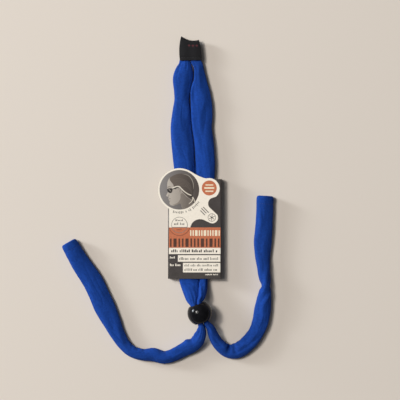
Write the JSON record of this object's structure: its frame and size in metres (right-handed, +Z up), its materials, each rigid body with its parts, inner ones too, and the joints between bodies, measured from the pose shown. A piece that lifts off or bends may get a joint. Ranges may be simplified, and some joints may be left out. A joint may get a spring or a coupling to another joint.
{
  "type": "eyewear retainer strap",
  "caption": "Knitted eyewear retainer strap with two open temple sleeves, a folded woven end label, a sliding ball bead and a printed card sleeve.",
  "frame": {"origin": "middle of the laid-out strap's footprint, on the surface it lies on", "axes": "+Y towards the label end, +Z up from the surface, +X across, towards the right-hand arm"},
  "size_m": [0.1312, 0.2023, 0.0153],
  "materials": {
    "blue_knit": "fine rib-knitted cotton, matt",
    "blue_thread": "spun sewing thread",
    "black_weave": "woven tape with a slight sheen",
    "black_thread": "spun sewing thread",
    "black_plastic": "polished",
    "printed_board": "coated and printed, satin"
  },
  "bodies": {
    "strap": {"left_strap": "blue_knit", "right_strap": "blue_knit", "left_hem_stitching": "blue_thread", "right_hem_stitching": "blue_thread", "fold_label": "black_weave", "label_front_stitching": "black_thread", "label_back_stitching": "black_thread"},
    "bead": {"slider_bead": "black_plastic"},
    "card": {"card_sleeve": "printed_board"}
  },
  "joints": [
    {"name": "bead_slide", "type": "slide", "parent": "strap", "child": "bead", "axis": [-0.342, 0.9397, 0], "range_m": [-0.01, 0.012], "deforming": ["left_strap", "right_strap"]},
    {"name": "card_slide", "type": "slide", "parent": "strap", "child": "card", "axis": [0, 1, 0], "range_m": [0, 0.155]}
  ]
}
